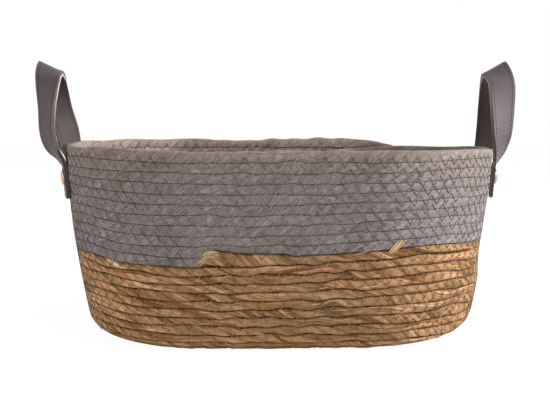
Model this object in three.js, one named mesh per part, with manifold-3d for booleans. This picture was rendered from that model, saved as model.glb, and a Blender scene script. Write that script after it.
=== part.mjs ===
// An oval rope basket with two strap handles.
//
// One natural rope is coiled from the middle of the base, turns up at the edge and winds on as the lower
// wall. A thicker grey rope takes over at the front and winds on to the rim, where it ends at the back in
// a taper. Each end of the basket has a handle: a strap of two layers, riveted outside the wall at both
// ends, which leaves the wall above its rivets, twists and arches over the rim.
//
// Lengths are in millimetres and angles in degrees. X runs along the basket, Y from its front to its back
// and Z up. The origin is on the resting plane, under the middle of the basket.

import * as THREE from 'three';
import { mergeVertices } from 'three/addons/utils/BufferGeometryUtils.js';
import Module from 'manifold-3d';

const wasm = await Module();
wasm.setup();

// Basket.
const coreLength = 140; // straight middle that every turn of rope runs round
const flatHalfWidth = 87.5; // from the middle of the base out to where the rope starts to turn up
const cornerRadius = 19; // of the rope's middle line, where base meets wall
const cornerAngle = 78; // how far the corner turns up
const wallRadius = 1000; // of the wall's slight bulge, which lessens its lean towards the rim

// Ropes. A pitch is the distance between the middles of two turns.
const naturalPitch = 7.5;
const naturalThickness = 7.4; // through the wall
const naturalTurns = 23;
const greyPitch = 8.7;
const greyThickness = 7.8;
const greyTurns = 10;
const turnGap = 0.5; // between neighbouring turns
const firstTurnOffset = 2.5; // from the middle line of the base to the first run of rope
const spliceX = -61; // where natural rope ends and grey rope starts, on the front
const spliceGap = 0.4;
const taperScales = [0.85, 0.4]; // of the grey rope's last two sections

// Straps.
const strapWidth = 25;
const strapLayer = 1.5; // thickness of the outer layer, and of the lining
const layerGap = 0.4;
const seatGap = 0.3; // between touching pieces
const strapSpacing = 60; // between a handle's two rivets, along the end wall
const strapFacetMargin = 2; // by which the wall is flat beyond the strap's edges
const tailLength = 19; // of strap, from rivet down to its cut end
const tabLength = 10; // of strap held flat, from rivet up to the bend
const bendGap = 0.4; // between the held strap and its swinging loop

// Each loop's shape, from the bend of each leg up to the top: how far outward and above the rivet it is, as
// shares of its reach and rise, how far from the middle of the handle, as a share of the rivet's distance,
// and by how many degrees its face has turned from facing outward. The top lies past the middle, so
// its spread is negative on the front leg.
const loopReach = 17; // outward, of the strap's middle line
const loopRise = 100; // above the rivets
const loopStations = {
  left: {
    front: [
      { outward: 0.22, height: 0.16, spread: 1.02, turn: 17 },
      { outward: 0.58, height: 0.26, spread: 1.03, turn: 32 },
      { outward: 0.81, height: 0.4, spread: 0.95, turn: 42 },
      { outward: 0.885, height: 0.65, spread: 0.85, turn: 50 },
      { outward: 0.875, height: 0.885, spread: 0.56, turn: 72 },
    ],
    top: { outward: 0.87, height: 1, spread: 0, turn: 115 },
    back: [
      { outward: 0.2, height: 0.16, spread: 1.03, turn: 18 },
      { outward: 0.42, height: 0.265, spread: 1.07, turn: 32 },
      { outward: 0.5, height: 0.4, spread: 1.05, turn: 43 },
      { outward: 0.74, height: 0.625, spread: 0.9, turn: 56 },
      { outward: 0.885, height: 0.87, spread: 0.56, turn: 84 },
    ],
  },
  right: {
    front: [
      { outward: 0.22, height: 0.16, spread: 1.02, turn: 17 },
      { outward: 0.42, height: 0.26, spread: 1.02, turn: 30 },
      { outward: 0.45, height: 0.38, spread: 1, turn: 49 },
      { outward: 0.72, height: 0.63, spread: 0.78, turn: 68 },
      { outward: 0.835, height: 0.87, spread: 0.42, turn: 86 },
    ],
    top: { outward: 0.695, height: 1, spread: -0.2, turn: 119 },
    back: [
      { outward: 0.2, height: 0.16, spread: 1.03, turn: 18 },
      { outward: 0.5, height: 0.265, spread: 1.08, turn: 38 },
      { outward: 0.76, height: 0.405, spread: 1.06, turn: 55 },
      { outward: 0.875, height: 0.63, spread: 0.93, turn: 69 },
      { outward: 0.855, height: 0.87, spread: 0.64, turn: 92 },
    ],
  },
};
const loopSteps = 4; // sections between two stations

// Rivets.
const rivetHeight = 145;
const rivetHeadRadius = 6.75;
const rivetHeadHeight = 2.5;
const rivetShankRadius = 1.7;
const rivetBackRadius = 6;
const rivetBackThickness = 1.1;
const rivetSocketDepth = 1.3;

const radians = THREE.MathUtils.degToRad;
const up = new THREE.Vector3(0, 0, 1);
const halfCore = coreLength / 2;

// The wall's middle line in section: offset from the core line, height, and inclination, at a distance
// along it from the middle of the base.
const cornerEnd = radians(cornerAngle);
const cornerLength = cornerRadius * cornerEnd;
const cornerOffset = flatHalfWidth + cornerRadius * Math.sin(cornerEnd);
const cornerHeight = naturalThickness / 2 + cornerRadius * (1 - Math.cos(cornerEnd));

function profile(distance) {
  if (distance <= flatHalfWidth) {
    return { offset: distance, height: naturalThickness / 2, inclination: 0 };
  }
  const past = distance - flatHalfWidth;
  if (past <= cornerLength) {
    const inclination = past / cornerRadius;
    return {
      offset: flatHalfWidth + cornerRadius * Math.sin(inclination),
      height: naturalThickness / 2 + cornerRadius * (1 - Math.cos(inclination)),
      inclination,
    };
  }
  return wallProfile(cornerEnd + (past - cornerLength) / wallRadius);
}

function wallProfile(inclination) {
  return {
    offset: cornerOffset + wallRadius * (Math.sin(inclination) - Math.sin(cornerEnd)),
    height: cornerHeight + wallRadius * (Math.cos(cornerEnd) - Math.cos(inclination)),
    inclination,
  };
}

function wallProfileAtHeight(height) {
  return wallProfile(Math.acos(Math.cos(cornerEnd) - (height - cornerHeight) / wallRadius));
}

// How far along the wall's middle line each rope lies, after a number of laps that each start at the left
// of the front, and a fraction of the next. A grey lap climbs by the natural pitch, because the first one
// lies on the last natural lap, and steps up by the rest where it passes over the splice.
const naturalDistance = (laps, fraction) => firstTurnOffset + naturalPitch * (laps + fraction);

function greyDistance(laps, fraction) {
  const start = naturalDistance(naturalTurns, 0) + (greyPitch - naturalPitch) / 2;
  return start + greyPitch * laps + naturalPitch * fraction;
}

// The sections round one end of the basket, as angles from its run. The wall is flat under each strap.
const rivetProfile = wallProfileAtHeight(rivetHeight);
const rivetWallRadius = rivetProfile.offset + greyThickness / 2;
const rivetAngle = Math.asin(strapSpacing / 2 / rivetWallRadius);
const facetHalfAngle = Math.asin((strapWidth / 2 + strapFacetMargin) / rivetWallRadius);
const roundSteps = 3;

function endAngles() {
  const flatStart = Math.PI / 2 - rivetAngle - facetHalfAngle;
  const angles = [];
  for (let i = 0; i <= roundSteps; i += 1) {
    angles.push((flatStart * i) / roundSteps);
  }
  angles.push(flatStart + 2 * facetHalfAngle);
  return [...angles, ...angles.map((angle) => Math.PI - angle).reverse()];
}

// A rope's sections in order. It runs level along the front and the back, and climbs round the ends.
function windingSections(startX, halfLaps) {
  const sections = [{ core: startX, out: new THREE.Vector3(0, -1, 0), laps: 0, fraction: 0 }];
  for (let half = 0; half < halfLaps; half += 1) {
    sections.push(...endAngles().map((angle) => endSection(half, angle)));
  }
  return sections;
}

function endSection(half, angle) {
  const side = half % 2 === 0 ? -1 : 1;
  return {
    core: side * halfCore,
    out: new THREE.Vector3(side * Math.sin(angle), side * Math.cos(angle), 0),
    laps: Math.floor(half / 2),
    fraction: (half % 2) / 2 + (1 - Math.cos(angle)) / 4,
  };
}

// One section of rope: six points, two of them towards the neighbouring turns. Where the corner starts to
// turn up, its inner points are pressed flat on the resting plane.
function ropeRing({ core, out, laps, fraction, scale = 1 }, distanceAt, pitch, thickness) {
  const half = (pitch - turnGap) / 2;
  const { offset, height, inclination } = profile(distanceAt(laps, fraction) - half * (1 - scale));
  const middle = new THREE.Vector3(core, 0, height).addScaledVector(out, offset);
  const along = out.clone().multiplyScalar(Math.cos(inclination)).addScaledVector(up, Math.sin(inclination));
  const outward = out.clone().multiplyScalar(Math.sin(inclination)).addScaledVector(up, -Math.cos(inclination));
  const points = [[1, 0], [0.5, 1], [-0.5, 1], [-1, 0], [-0.5, -1], [0.5, -1]];
  return points.map(([a, n]) => {
    const point = middle.clone().addScaledVector(along, a * half * scale);
    point.addScaledVector(outward, (n * thickness * scale) / 2);
    return point.setZ(Math.max(point.z, 0));
  });
}

// A closed body through a row of sections with the same number of points, and flat ends. Opposite sides
// are split along the same diagonals, so that the two layers of a twisted strap stay parallel.
function sweep(rings) {
  const count = rings[0].length;
  const positions = rings.flat().flatMap((point) => point.toArray());
  const index = [];
  for (let i = 0; i + 1 < rings.length; i += 1) {
    for (let j = 0; j < count; j += 1) {
      const a = i * count + j;
      const b = i * count + ((j + 1) % count);
      if (j < count / 2) {
        index.push(a, b, b + count, a, b + count, a + count);
      } else {
        index.push(a, b, a + count, b, b + count, a + count);
      }
    }
  }
  const last = (rings.length - 1) * count;
  for (let j = 1; j + 1 < count; j += 1) {
    index.push(0, j + 1, j, last, last + j, last + j + 1);
  }
  const geometry = new THREE.BufferGeometry();
  geometry.setAttribute('position', new THREE.Float32BufferAttribute(positions, 3));
  geometry.setIndex(index);
  return facingOut(geometry);
}

function facingOut(geometry) {
  const position = geometry.getAttribute('position');
  const index = geometry.getIndex().array;
  const corners = [new THREE.Vector3(), new THREE.Vector3(), new THREE.Vector3()];
  let volume = 0;
  for (let i = 0; i < index.length; i += 3) {
    corners.forEach((corner, k) => corner.fromBufferAttribute(position, index[i + k]));
    volume += corners[0].dot(corners[1].clone().cross(corners[2]));
  }
  if (volume < 0) {
    geometry.setIndex(Array.from(index).reverse());
  }
  return geometry;
}

// Boolean cuts.
function toSolid(geometry) {
  const bare = geometry.clone();
  bare.deleteAttribute('normal');
  bare.deleteAttribute('uv');
  const merged = mergeVertices(bare, 1e-4);
  return new wasm.Manifold(new wasm.Mesh({
    numProp: 3,
    vertProperties: new Float32Array(merged.getAttribute('position').array),
    triVerts: new Uint32Array(merged.getIndex().array),
  }));
}

function cut(geometry, tools) {
  const solid = tools.reduce((rest, tool) => rest.subtract(toSolid(tool)), toSolid(geometry));
  const mesh = solid.getMesh();
  const result = new THREE.BufferGeometry();
  result.setAttribute('position', new THREE.BufferAttribute(mesh.vertProperties, 3));
  result.setIndex(new THREE.BufferAttribute(mesh.triVerts, 1));
  return result;
}

// The least gap of a winding to itself, over its corners and the middles of its edges.
function leastGap(rings, stepsPerTurn) {
  const marks = rings.slice(0, -1).map((ring, i) => ring.flatMap((point, j) => {
    return [point, point.clone().lerp(rings[i + 1][j], 0.5)];
  }));
  let least = Infinity;
  for (let i = 0; i < marks.length; i += 1) {
    for (let j = i + 3; j < Math.min(marks.length, i + 2 * stepsPerTurn); j += 1) {
      for (const a of marks[i]) {
        for (const b of marks[j]) {
          least = Math.min(least, a.distanceTo(b));
        }
      }
    }
  }
  return least;
}

function material(color, roughness, metalness) {
  return new THREE.MeshStandardMaterial({ color, roughness, metalness });
}

const basket = new THREE.Group();

function addPiece(name, geometry, pieceMaterial) {
  geometry.computeVertexNormals();
  const mesh = new THREE.Mesh(geometry, pieceMaterial);
  mesh.name = name;
  basket.add(mesh);
  return mesh;
}

// A frame where one end of a strap is riveted, on the outer face of the wall: out of the wall, up along
// it, and across the strap.
function rivetFrame(side, leg) {
  const { offset, height, inclination } = rivetProfile;
  const out = new THREE.Vector3(side * Math.cos(rivetAngle), leg * Math.sin(rivetAngle), 0);
  const outward = out.clone().multiplyScalar(Math.sin(inclination)).addScaledVector(up, -Math.cos(inclination));
  const along = out.clone().multiplyScalar(Math.cos(inclination)).addScaledVector(up, Math.sin(inclination));
  const across = along.clone().cross(outward);
  const wallMiddle = new THREE.Vector3(side * halfCore, 0, height)
    .addScaledVector(out, offset * Math.cos(facetHalfAngle));
  const place = wallMiddle.clone().addScaledVector(outward, greyThickness / 2);
  return { place, outward, along, across };
}

function placeInFrame(mesh, frame, distanceOut) {
  const { place, outward, along, across } = frame;
  mesh.quaternion.setFromRotationMatrix(new THREE.Matrix4().makeBasis(across, outward, along.clone().negate()));
  mesh.position.copy(place).addScaledVector(outward, distanceOut);
}

// A strap's layers, as distances from its middle surface.
const liningFaces = [-layerGap / 2 - strapLayer, -layerGap / 2];
const outerFaces = [layerGap / 2, layerGap / 2 + strapLayer];
const strapMiddle = seatGap + strapLayer + layerGap / 2; // from the wall to the strap's middle surface

function strapRing(middle, across, face, [inner, outer]) {
  const points = [[-1, inner], [1, inner], [1, outer], [-1, outer]];
  return points.map(([w, n]) => middle.clone()
    .addScaledVector(across, (w * strapWidth) / 2)
    .addScaledVector(face, n));
}

// The strap end held flat against the wall, with its rivet hole.
function tabGeometry(frame, faces) {
  const middle = frame.place.clone().addScaledVector(frame.outward, strapMiddle);
  const rings = [-tailLength, tabLength].map((rise) => {
    return strapRing(middle.clone().addScaledVector(frame.along, rise), frame.across, frame.outward, faces);
  });
  return cut(sweep(rings), [rivetHole(frame)]);
}

function rivetHole(frame) {
  const reach = 30;
  const radius = rivetShankRadius + seatGap;
  const hole = new THREE.CylinderGeometry(radius, radius, reach, 16);
  const turn = new THREE.Matrix4().makeBasis(frame.across, frame.outward, frame.along.clone().negate());
  return hole.applyMatrix4(turn.setPosition(frame.place));
}

// The loop between a handle's two bends. A curve carries its middle line, and another how far its face
// has turned from facing outward.
function loopCurves(side, { front, top, back }) {
  const heldTurn = THREE.MathUtils.radToDeg(rivetAngle);
  const positions = [];
  const turns = [];
  for (const { leg, stations } of [{ leg: -1, stations: [...front, top] }, { leg: 1, stations: back }]) {
    const frame = rivetFrame(side, leg);
    const held = frame.place.clone().addScaledVector(frame.outward, strapMiddle);
    const bend = held.clone().addScaledVector(frame.along, tabLength + bendGap);
    const legPoints = [held, bend];
    for (const { outward, height, spread } of stations) {
      const x = held.x + side * loopReach * outward;
      const y = (leg * spread * strapSpacing) / 2;
      legPoints.push(new THREE.Vector3(x, y, held.z + height * loopRise));
    }
    const legTurns = [heldTurn, heldTurn, ...stations.map(({ turn }) => turn)];
    positions.push(...(leg < 0 ? legPoints : legPoints.reverse()));
    turns.push(...(leg < 0 ? legTurns : legTurns.reverse()));
  }
  return {
    line: new THREE.CatmullRomCurve3(positions),
    turning: new THREE.CatmullRomCurve3(turns.map((turn) => new THREE.Vector3(radians(turn), 0, 0))),
    spans: positions.length - 1,
  };
}

function loopGeometry(side, stations, faces) {
  const { line, turning, spans } = loopCurves(side, stations);
  const outwardAxis = new THREE.Vector3(side, 0, 0);
  const steps = (spans - 2) * loopSteps;
  const [front, back] = [rivetFrame(side, -1), rivetFrame(side, 1)];
  const rings = [strapRing(line.getPoint(1 / spans), front.across, front.outward, faces)];
  for (let i = 1; i < steps; i += 1) {
    const t = (1 + i / loopSteps) / spans;
    const middle = line.getPoint(t);
    const tangent = line.getTangent(t);
    const facing = outwardAxis.clone().addScaledVector(tangent, -outwardAxis.dot(tangent)).normalize();
    facing.applyAxisAngle(tangent, -side * turning.getPoint(t).x);
    rings.push(strapRing(middle, tangent.clone().cross(facing), facing, faces));
  }
  rings.push(strapRing(line.getPoint(1 - 1 / spans), back.across.negate(), back.outward, faces));
  return sweep(rings);
}

// Rivets: a domed cap over the strap, and a post with a flat back inside the basket.
function rivetCapGeometry() {
  const socketRadius = rivetShankRadius + seatGap;
  const points = [new THREE.Vector2(0, rivetSocketDepth)];
  points.push(new THREE.Vector2(socketRadius, rivetSocketDepth), new THREE.Vector2(socketRadius, 0));
  const brim = 0.5;
  points.push(new THREE.Vector2(rivetHeadRadius, 0), new THREE.Vector2(rivetHeadRadius, brim));
  const domeSteps = 5;
  for (let i = 1; i <= domeSteps; i += 1) {
    const angle = (Math.PI / 2) * (i / domeSteps);
    const radius = i === domeSteps ? 0 : rivetHeadRadius * Math.cos(angle);
    points.push(new THREE.Vector2(radius, brim + (rivetHeadHeight - brim) * Math.sin(angle)));
  }
  return facingOut(mergeVertices(new THREE.LatheGeometry(points, 24).deleteAttribute('uv')
    .deleteAttribute('normal')));
}

const strapStack = 2 * strapLayer + layerGap + 2 * seatGap; // from wall to rivet cap
const postReach = greyThickness + strapStack + rivetSocketDepth - seatGap; // from the wall's inner face

function rivetPostGeometry() {
  const outline = [
    [0, -seatGap - rivetBackThickness],
    [rivetBackRadius, -seatGap - rivetBackThickness],
    [rivetBackRadius, -seatGap],
    [rivetShankRadius, -seatGap],
    [rivetShankRadius, postReach],
    [0, postReach],
  ];
  const points = outline.map(([radius, height]) => new THREE.Vector2(radius, height));
  return facingOut(mergeVertices(new THREE.LatheGeometry(points, 20).deleteAttribute('uv')
    .deleteAttribute('normal')));
}

// The ropes.
const stepsPerTurn = 2 * endAngles().length;

function naturalRope() {
  const sections = windingSections(halfCore, 2 * naturalTurns);
  sections.push({ ...sections.at(-1), core: spliceX + spliceGap / 2 });
  return sections.map((section) => ropeRing(section, naturalDistance, naturalPitch, naturalThickness));
}

function greyRope() {
  const lastHalf = 2 * greyTurns + 1;
  const sections = windingSections(spliceX - spliceGap / 2, lastHalf);
  const [runEnd, tip] = endAngles().map((angle) => endSection(lastHalf, angle));
  sections.push({ ...runEnd, scale: taperScales[0] }, { ...tip, scale: taperScales[1] });
  return sections.map((section) => ropeRing(section, greyDistance, greyPitch, greyThickness));
}

const naturalRings = naturalRope();
const greyRings = greyRope();
console.log('natural rope, least gap to itself', leastGap(naturalRings, stepsPerTurn).toFixed(3));
console.log('grey rope, least gap to itself', leastGap(greyRings, stepsPerTurn).toFixed(3));

const handles = [
  { name: 'left', side: -1 },
  { name: 'right', side: 1 },
];
const legs = [
  { name: 'front', leg: -1 },
  { name: 'back', leg: 1 },
];
const rivetFrames = handles.flatMap(({ side }) => legs.map(({ leg }) => rivetFrame(side, leg)));

addPiece('natural_rope', sweep(naturalRings), material(0xa5825a, 0.85, 0));
addPiece('grey_rope', cut(sweep(greyRings), rivetFrames.map(rivetHole)), material(0x8a7f79, 0.85, 0));

for (const { name, side } of handles) {
  const outerMaterial = material(0x5f5753, 0.5, 0);
  const liningMaterial = material(0x4f4743, 0.65, 0);
  const copper = material(0xc98a67, 0.3, 0.9);
  const stations = loopStations[name];
  addPiece(`${name}_strap_loop`, loopGeometry(side, stations, outerFaces), outerMaterial.clone());
  addPiece(`${name}_lining_loop`, loopGeometry(side, stations, liningFaces), liningMaterial.clone());
  for (const { name: legName, leg } of legs) {
    const frame = rivetFrame(side, leg);
    addPiece(`${name}_${legName}_strap_tab`, tabGeometry(frame, outerFaces), outerMaterial.clone());
    addPiece(`${name}_${legName}_lining_tab`, tabGeometry(frame, liningFaces), liningMaterial.clone());
    const cap = addPiece(`${name}_${legName}_rivet_cap`, rivetCapGeometry(), copper.clone());
    placeInFrame(cap, frame, strapStack);
    const post = addPiece(`${name}_${legName}_rivet_post`, rivetPostGeometry(), copper.clone());
    placeInFrame(post, frame, -greyThickness);
  }
}

// The line that each loop swings about: along Y, through the outermost corners of the two bends.
const hingeFrame = rivetFrame(1, 1);
const hinge = hingeFrame.place.clone()
  .addScaledVector(hingeFrame.outward, strapMiddle + outerFaces[1])
  .addScaledVector(hingeFrame.along, tabLength + bendGap);
hinge.x += (Math.abs(hingeFrame.across.x) * strapWidth) / 2;
console.log('handle hinge, outward from the middle and up', hinge.x.toFixed(2), hinge.z.toFixed(2));

export default basket;
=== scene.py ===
# %% [markdown]
# # An oval rope basket with two strap handles
# The imported model comes first. It is the frame that every piece is built on: each node has its place in
# its mesh, in metres, and each body is an empty that its pieces ride on.
# %% Load the imported model
import math

import bpy
import numpy as np
from mathutils import Matrix, Vector


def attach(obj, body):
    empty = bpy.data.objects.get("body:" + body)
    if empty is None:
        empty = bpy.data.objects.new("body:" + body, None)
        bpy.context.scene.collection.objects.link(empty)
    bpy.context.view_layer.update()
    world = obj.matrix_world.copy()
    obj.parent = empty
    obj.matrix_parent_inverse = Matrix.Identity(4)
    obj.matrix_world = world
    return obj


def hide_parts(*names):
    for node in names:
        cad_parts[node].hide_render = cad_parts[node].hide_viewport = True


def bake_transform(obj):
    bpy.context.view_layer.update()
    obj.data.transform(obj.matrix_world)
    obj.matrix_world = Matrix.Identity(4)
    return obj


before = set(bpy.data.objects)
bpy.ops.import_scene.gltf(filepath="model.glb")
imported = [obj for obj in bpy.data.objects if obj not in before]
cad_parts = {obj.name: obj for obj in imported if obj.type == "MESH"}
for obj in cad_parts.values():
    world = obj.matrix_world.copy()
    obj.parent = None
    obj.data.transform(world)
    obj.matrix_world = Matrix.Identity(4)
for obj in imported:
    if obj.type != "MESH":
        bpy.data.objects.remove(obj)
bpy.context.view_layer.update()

# %% [markdown]
# ## Camera
# A product photograph is taken from some distance, with a long lens, a little above the rim. The camera
# stands 0.95 m in front of the basket, is turned by two degrees round it, and looks down by five. The
# lens is worked out from how many pixels a known width takes, so the picture has no shift.
# %% Camera
MM = 0.001
CAMERA_DISTANCE, CAMERA_HEIGHT, CAMERA_SIDE = 0.950, 0.2015, -0.0043
CAMERA_TURN, CAMERA_TILT = 0.038, 0.091
FOCAL_PIXELS, PICTURE_WIDTH, SENSOR_WIDTH = 1003, 550, 36
bpy.ops.object.camera_add(
    location=(
        CAMERA_SIDE * math.cos(CAMERA_TURN) - CAMERA_DISTANCE * math.sin(CAMERA_TURN),
        -CAMERA_SIDE * math.sin(CAMERA_TURN) - CAMERA_DISTANCE * math.cos(CAMERA_TURN),
        CAMERA_HEIGHT,
    ),
    rotation=(math.pi / 2 - CAMERA_TILT, 0, -CAMERA_TURN),
)
camera = bpy.context.object
camera.data.sensor_width = SENSOR_WIDTH
camera.data.lens = FOCAL_PIXELS / PICTURE_WIDTH * SENSOR_WIDTH
camera.data.clip_start = 0.01
bpy.context.scene.camera = camera
bpy.context.scene.view_settings.view_transform = "Standard"
print("lens", round(camera.data.lens, 1), "mm")

# %% [markdown]
# ## Writing a material as sums
# A pattern on a surface is arithmetic: how near a point is to a seam, times how dark the seam is. Wiring
# that by hand takes dozens of Math nodes. So a small class holds one output of a node, and its plus, minus
# and times add the nodes. Everything else goes through one method that sets a node up and fills its
# sockets with numbers or links.
# %% Shader helpers
class Flow:
    """A number that varies over a surface. Arithmetic on it adds Math nodes."""

    def __init__(self, finish, socket):
        self.finish, self.socket = finish, socket

    def math(self, operation, *others, flipped=False):
        terms = [self, *others]
        if flipped:
            terms.reverse()
        return self.finish.node("ShaderNodeMath", {"operation": operation}, dict(enumerate(terms)))

    def __add__(self, other):
        return self.math("ADD", other)

    def __mul__(self, other):
        return self.math("MULTIPLY", other)

    def __sub__(self, other):
        return self.math("SUBTRACT", other)

    def __rsub__(self, other):
        return self.math("SUBTRACT", other, flipped=True)

    def __pow__(self, power):
        return self.math("POWER", power)

    __radd__, __rmul__ = __add__, __mul__

    def size(self):
        return self.math("ABSOLUTE")


class Finish:
    """A material under construction."""

    def __init__(self, name):
        self.material = bpy.data.materials.new(name)
        self.material.use_nodes = True
        self.tree = self.material.node_tree
        self.surface = self.tree.nodes["Principled BSDF"]

    def node(self, kind, settings=None, values=None, output=0):
        made = self.tree.nodes.new(kind)
        for key, value in (settings or {}).items():
            if key == "stops":
                ramp = made.color_ramp
                while len(ramp.elements) < len(value):
                    ramp.elements.new(0.5)
                for element, (place, colour) in zip(ramp.elements, value):
                    element.position, element.color = place, colour
            else:
                setattr(made, key, value)
        for key, value in (values or {}).items():
            self.fill(made.inputs[key], value)
        return Flow(self, made.outputs[output])

    def fill(self, socket, value):
        if isinstance(value, Flow):
            self.tree.links.new(value.socket, socket)
        else:
            socket.default_value = value

    def set(self, **values):
        for key, value in values.items():
            self.fill(self.surface.inputs[key.replace("_", " ")], value)

    def pair(self, map_name):
        """The two numbers of a UV map, as flows."""
        uv = self.node("ShaderNodeUVMap", {"uv_map": map_name})
        parts = self.node("ShaderNodeSeparateXYZ", None, {0: uv})
        return parts, Flow(self, parts.socket.node.outputs[1])

    def place(self):
        """X, Y and Z on the object."""
        at = self.node("ShaderNodeTexCoord", output=3)
        parts = self.node("ShaderNodeSeparateXYZ", None, {0: at}).socket.node.outputs
        return at, [Flow(self, part) for part in parts]

    def point(self, x, y, z=0.0):
        return self.node("ShaderNodeCombineXYZ", None, {0: x, 1: y, 2: z})

    def noise(self, vector, scale=1.0, detail=2.0, roughness=0.5):
        values = {"Vector": vector, "Scale": scale, "Detail": detail, "Roughness": roughness}
        return self.node("ShaderNodeTexNoise", None, values)

    def smooth(self, value, low, high):
        """0 below low and 1 above high, with a soft step between."""
        values = {0: value, 1: low, 2: high}
        return self.node("ShaderNodeMapRange", {"interpolation_type": "SMOOTHSTEP"}, values)

    def ramp(self, value, stops):
        return self.node("ShaderNodeValToRGB", {"stops": stops}, {0: value})

    def mixed(self, first, second, share, blend="MIX"):
        settings = {"data_type": "RGBA", "blend_type": blend}
        return self.node("ShaderNodeMix", settings, {0: share, 6: first, 7: second}, output=2)

    def bump(self, height, strength=1.0):
        """height is in millimetres."""
        values = {"Strength": strength, "Distance": MM, "Height": height}
        self.set(Normal=self.node("ShaderNodeBump", None, values))


def colour(red, green, blue):
    """A colour as a picture shows it, 0 to 255, as the renderer counts it."""
    def linear(value):
        value /= 255
        return value / 12.92 if value <= 0.04045 else ((value + 0.055) / 1.055) ** 2.4

    return (linear(red), linear(green), linear(blue), 1.0)


print("mid grey", round(colour(128, 128, 128)[0], 3))

# %% [markdown]
# ## Floor and light
# The photograph has a white ground with a faint shadow. Brighter lamps would get the white and wash out
# the rope, so the floor and the sky are white to the camera alone, through the Light Path node. Behind
# that the floor is plain matt white, which keeps the shadow and sends some light up under the wall.
# %% Floor
def seen_directly(finish):
    """1 for what the camera, a mirror or a glass sees, else 0."""
    path = finish.node("ShaderNodeLightPath").socket.node.outputs
    flows = [Flow(finish, path[name]) for name in ("Is Camera Ray", "Is Glossy Ray", "Is Transmission Ray")]
    return (flows[0] + flows[1] + flows[2]).math("MINIMUM", 1.0)


bpy.ops.object.select_all(action="DESELECT")
bpy.ops.mesh.primitive_plane_add(size=12, location=(0, 0, -0.0001))
floor = bpy.context.object
floor.name = "floor"
GLOW_SHARE, GLOW_STRENGTH = 0.86, 1.1
paper = Finish("white_ground")
paper.set(Base_Color=(0.86, 0.86, 0.86, 1), Roughness=0.9)
glow = paper.node("ShaderNodeEmission", None, {"Color": (1, 1, 1, 1), "Strength": GLOW_STRENGTH})
lit = Flow(paper, paper.surface.outputs[0])
shown = paper.node("ShaderNodeMixShader", None, {0: seen_directly(paper) * GLOW_SHARE, 1: lit, 2: glow})
paper.tree.links.new(shown.socket, paper.tree.nodes["Material Output"].inputs[0])
floor.data.materials.append(paper.material)
print("floor", tuple(round(x, 1) for x in floor.dimensions))

# %% World and lamps
class Sky(Finish):
    """The world's node tree, written like a material's."""

    def __init__(self):
        world = bpy.data.worlds.new("studio")
        bpy.context.scene.world = world
        world.use_nodes = True
        self.tree = world.node_tree


sky = Sky()
SKY_LIGHT = 0.2
ambient = sky.tree.nodes["Background"]
ambient.inputs[0].default_value = (1.0, 1.0, 1.0, 1)
sky.fill(ambient.inputs[1], SKY_LIGHT + seen_directly(sky) * (1 - SKY_LIGHT))


def soft_lamp(name, place, target, size, watts, tint):
    """A square lamp at a place, facing a target."""
    bpy.ops.object.light_add(type="AREA", location=place)
    lamp = bpy.context.object
    lamp.name = name
    lamp.data.shape, lamp.data.size, lamp.data.energy, lamp.data.color = "SQUARE", size, watts, tint
    lamp.rotation_euler = (Vector(target) - Vector(place)).to_track_quat("-Z", "Y").to_euler()


soft_lamp("key_lamp", (2.2, -0.5, 1.25), (0.1, 0, 0.1), 1.0, 97, (0.97, 0.985, 1.0))
soft_lamp("left_lamp", (-2.0, -0.75, 0.4), (-0.1, 0, 0.1), 1.2, 18, (1.0, 0.96, 0.91))
soft_lamp("top_lamp", (0.1, -0.75, 2.1), (0, 0, 0.1), 1.1, 12, (1.0, 0.98, 0.95))

# %% [markdown]
# ## The basket's measures
# These are the sizes of the part itself, in millimetres, so that what is built here lies where the solids
# lie. A pitch is the distance between the middles of two turns of rope.
# %% Measures
HALF_CORE = 70.0
FLAT_HALF_WIDTH, CORNER_RADIUS, WALL_RADIUS = 87.5, 19.0, 1000.0
CORNER_END = math.radians(78)
NATURAL_PITCH, NATURAL_THICKNESS, NATURAL_TURNS = 7.5, 7.4, 23
GREY_PITCH, GREY_THICKNESS, GREY_TURNS = 8.7, 7.8, 10
FIRST_OFFSET, SPLICE_X = 2.5, -70.0
STRAP_WIDTH, STRAP_LAYER, LAYER_GAP, SEAT_GAP = 25.0, 1.5, 0.4, 0.3
STRAP_SPACING, STRAP_FACET_MARGIN = 60.0, 2.0
TAIL_LENGTH, TAB_LENGTH, BEND_GAP = 19.0, 10.0, 0.4
RIVET_HEIGHT, RIVET_RADIUS, RIVET_RISE, RIVET_BRIM = 145.0, 6.75, 2.5, 0.5
SPLICE_PLACE = 2 * NATURAL_TURNS + (1 - SPLICE_X / HALF_CORE) / 4
print("the splice is", round(SPLICE_PLACE, 2), "half turns from the start")

# %% [markdown]
# ## Where the wall is
# Every turn of rope runs round the same straight middle, so the basket is one section swept round it. The
# section is a flat base, a round corner, and a wall that leans out and bulges slightly. A distance along
# its middle line gives how far out a point is, how high, and how steep the wall is there.
# %% The wall's section
def wall(distance):
    past = np.asarray(distance, float) - FLAT_HALF_WIDTH
    corner = np.clip(past / CORNER_RADIUS, 0, CORNER_END)
    steep = corner + np.maximum(past - CORNER_RADIUS * CORNER_END, 0) / WALL_RADIUS
    out = np.minimum(past, 0) + FLAT_HALF_WIDTH + CORNER_RADIUS * np.sin(corner)
    out += WALL_RADIUS * (np.sin(steep) - np.sin(corner))
    height = NATURAL_THICKNESS / 2 + CORNER_RADIUS * (1 - np.cos(corner))
    height += WALL_RADIUS * (np.cos(corner) - np.cos(steep))
    return out, height, steep


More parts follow.
